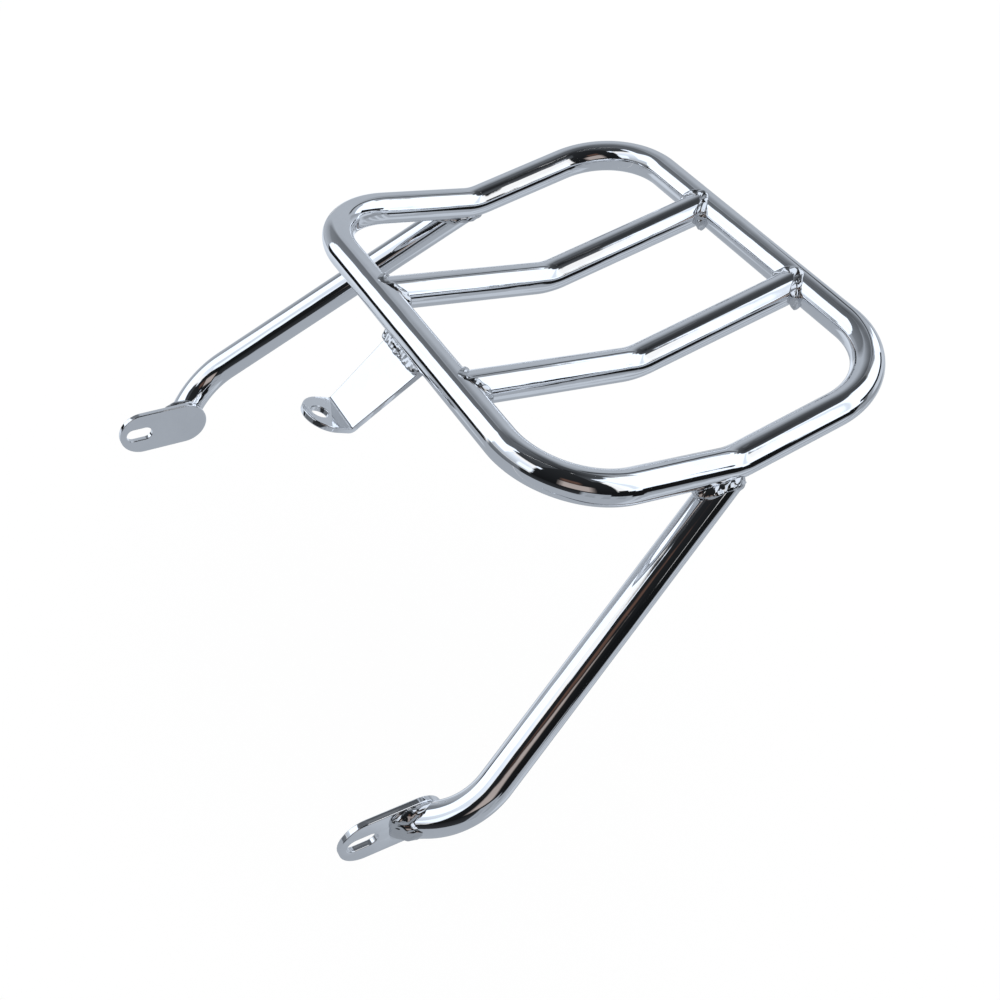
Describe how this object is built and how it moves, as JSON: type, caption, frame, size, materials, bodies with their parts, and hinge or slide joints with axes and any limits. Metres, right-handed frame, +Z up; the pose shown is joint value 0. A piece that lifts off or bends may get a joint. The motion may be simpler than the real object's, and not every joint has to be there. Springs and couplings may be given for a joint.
{
  "type": "motorcycle luggage rack",
  "caption": "Chromed tube luggage rack for a motorcycle: a kinked rounded loop with cross bars, two legs with slotted tabs and a folded centre bracket.",
  "frame": {"origin": "on the mid plane, midway between the slots of the two tabs, on the line through both slots' middles", "axes": "+Y to the tail of the motorcycle, +X to the rider's left, +Z up from the rack's front panel, which lies level"},
  "size_m": [0.3312, 0.2784, 0.2075],
  "materials": {
    "chrome": "bright chrome plating on polished steel",
    "chrome_weld": "chrome plating over unground weld beads"
  },
  "bodies": {
    "root": {"hoop": "chrome", "crossbar_left": "chrome", "crossbar_right": "chrome", "leg_left": "chrome", "leg_right": "chrome", "tab_left": "chrome", "tab_right": "chrome", "centre_bracket": "chrome", "bead_bar_front_left": "chrome_weld", "bead_bar_front_right": "chrome_weld", "bead_bar_rear_left": "chrome_weld", "bead_bar_rear_right": "chrome_weld", "bead_leg_left": "chrome_weld", "bead_leg_right": "chrome_weld", "bead_tab_left": "chrome_weld", "bead_tab_right": "chrome_weld", "bead_bracket": "chrome_weld"}
  },
  "joints": []
}
